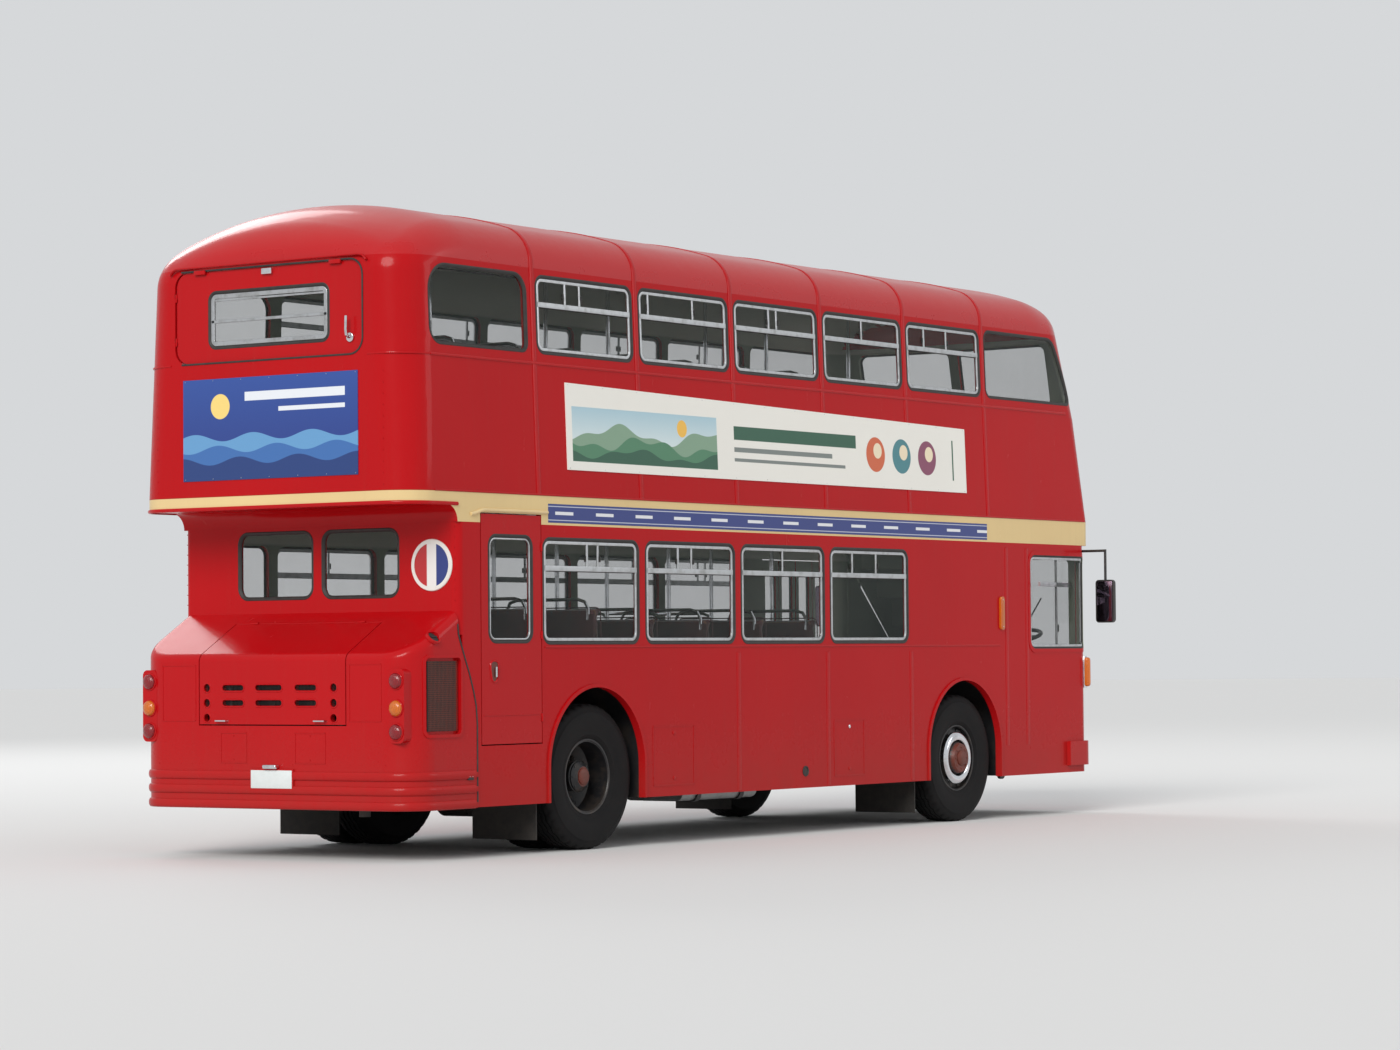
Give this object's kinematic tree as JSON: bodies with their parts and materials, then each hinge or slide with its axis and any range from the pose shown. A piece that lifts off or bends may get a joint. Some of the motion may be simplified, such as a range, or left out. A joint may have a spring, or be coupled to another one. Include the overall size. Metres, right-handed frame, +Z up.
{
  "type": "double decker bus",
  "caption": "Two-deck passenger bus with a rear engine bustle, a folding front entrance door, emergency doors, steered front wheels and twin rear wheels.",
  "frame": {"origin": "on the ground below the middle of the bus, half way along and half way across", "axes": "+X forward, +Y to the entrance side (left), +Z up"},
  "size_m": [9.1438, 2.99, 4.4397],
  "materials": {
    "red_paint": "gloss",
    "steel_black": "satin",
    "floor_grey": "matt",
    "bright_metal": "satin",
    "window_glass": "clear",
    "tyre_rubber": "matt",
    "flap_rubber": "matt",
    "engine_iron": "oily",
    "seat_cloth": "woven",
    "seat_steel": "satin",
    "lamp_red": "clear",
    "lamp_clear": "clear",
    "lamp_amber": "clear",
    "inner_panel": "satin",
    "black_plastic": "gloss",
    "roof_paint": "gloss"
  },
  "bodies": {
    "root": {"side_lower_right": "red_paint", "side_lower_left": "red_paint", "front_lower": "red_paint", "rear_lower": "red_paint", "side_upper_right": "red_paint", "side_upper_left": "red_paint", "rear_upper": "red_paint", "front_upper": "red_paint", "roof": "roof_paint", "wheelhouses": "steel_black", "lower_floor": "floor_grey", "upper_floor": "floor_grey", "staircase": "inner_panel", "engine_bustle": "red_paint", "engine_block": "engine_iron", "chassis_frame": "steel_black", "front_axle": "steel_black", "rear_axle": "steel_black", "body_glass": "window_glass", "seat_pads": "seat_cloth", "seat_frames": "seat_steel", "driver_seat": "seat_cloth", "steering_wheel": "black_plastic", "cab_wall": "inner_panel", "mirrors": "black_plastic", "rear_lamps": "lamp_red", "front_lamps": "lamp_clear", "front_bumper": "bright_metal", "mudflaps": "flap_rubber", "handrails": "bright_metal", "outriggers": "steel_black", "fuel_tank": "steel_black", "air_tanks": "steel_black", "exhaust": "engine_iron", "dashboard": "black_plastic", "side_lamps": "lamp_amber"},
    "steer_left": {"knuckle_left": "steel_black"},
    "front_roller_left": {"front_wheel_left": "steel_black", "front_tyre_left": "tyre_rubber"},
    "rear_roller_left": {"rear_wheels_left": "steel_black", "rear_tyres_left": "tyre_rubber"},
    "steer_right": {"knuckle_right": "steel_black"},
    "front_roller_right": {"front_wheel_right": "steel_black", "front_tyre_right": "tyre_rubber"},
    "rear_roller_right": {"rear_wheels_right": "steel_black", "rear_tyres_right": "tyre_rubber"},
    "leaf_1": {"entrance_leaf_1": "bright_metal", "leaf_glass_1": "window_glass"},
    "leaf_2": {"entrance_leaf_2": "bright_metal", "leaf_glass_2": "window_glass"},
    "leaf_3": {"entrance_leaf_3": "bright_metal", "leaf_glass_3": "window_glass"},
    "leaf_4": {"entrance_leaf_4": "bright_metal", "leaf_glass_4": "window_glass"},
    "side_door": {"side_emergency_door": "red_paint", "side_door_glass": "window_glass"},
    "rear_door": {"rear_emergency_door": "red_paint", "rear_door_glass": "window_glass"},
    "engine_cover": {"bonnet": "red_paint"}
  },
  "joints": [
    {"name": "steering_left", "type": "hinge", "parent": "root", "child": "steer_left", "pos_m": [2.426, 0.8, 0.505], "axis": [0, 0, 1], "range_deg": [-35, 35]},
    {"name": "front_spin_left", "type": "hinge", "parent": "steer_left", "child": "front_roller_left", "pos_m": [2.426, 1.03, 0.505], "axis": [0, 1, 0], "continuous": true},
    {"name": "rear_spin_left", "type": "hinge", "parent": "root", "child": "rear_roller_left", "pos_m": [-2.527, 0.865, 0.505], "axis": [0, 1, 0], "continuous": true},
    {"name": "steering_right", "type": "hinge", "parent": "root", "child": "steer_right", "pos_m": [2.426, -0.8, 0.505], "axis": [0, 0, 1], "range_deg": [-35, 35]},
    {"name": "front_spin_right", "type": "hinge", "parent": "steer_right", "child": "front_roller_right", "pos_m": [2.426, -1.03, 0.505], "axis": [0, 1, 0], "continuous": true},
    {"name": "rear_spin_right", "type": "hinge", "parent": "root", "child": "rear_roller_right", "pos_m": [-2.527, -0.865, 0.505], "axis": [0, 1, 0], "continuous": true},
    {"name": "rear_leaf_hinge", "type": "hinge", "parent": "root", "child": "leaf_1", "pos_m": [3.097, 1.179, 0.4], "axis": [0, 0, -1], "range_deg": [0, 80]},
    {"name": "rear_leaf_fold", "type": "hinge", "parent": "leaf_1", "child": "leaf_2", "pos_m": [3.353, 1.213, 0.4], "axis": [0, 0, 1], "range_deg": [0, 160]},
    {"name": "front_leaf_hinge", "type": "hinge", "parent": "root", "child": "leaf_4", "pos_m": [4.129, 1.179, 0.4], "axis": [0, 0, 1], "range_deg": [0, 80]},
    {"name": "front_leaf_fold", "type": "hinge", "parent": "leaf_4", "child": "leaf_3", "pos_m": [3.873, 1.213, 0.4], "axis": [0, 0, -1], "range_deg": [0, 160]},
    {"name": "side_door_hinge", "type": "hinge", "parent": "root", "child": "side_door", "pos_m": [-3.157, -1.221, 0.8], "axis": [0, 0, 1], "range_deg": [0, 100]},
    {"name": "rear_door_hinge", "type": "hinge", "parent": "root", "child": "rear_door", "pos_m": [-4.563, 0.829, 3.4], "axis": [0, 0, -1], "range_deg": [0, 95]},
    {"name": "bonnet_hinge", "type": "hinge", "parent": "root", "child": "engine_cover", "pos_m": [-4.187, 0, 1.58257], "axis": [0, 1, 0], "range_deg": [0, 75]}
  ],
  "couplings": [
    {"joint": "steering_right", "follows": "steering_left", "ratio": 1},
    {"joint": "rear_leaf_fold", "follows": "rear_leaf_hinge", "ratio": 2},
    {"joint": "front_leaf_fold", "follows": "front_leaf_hinge", "ratio": 2}
  ]
}
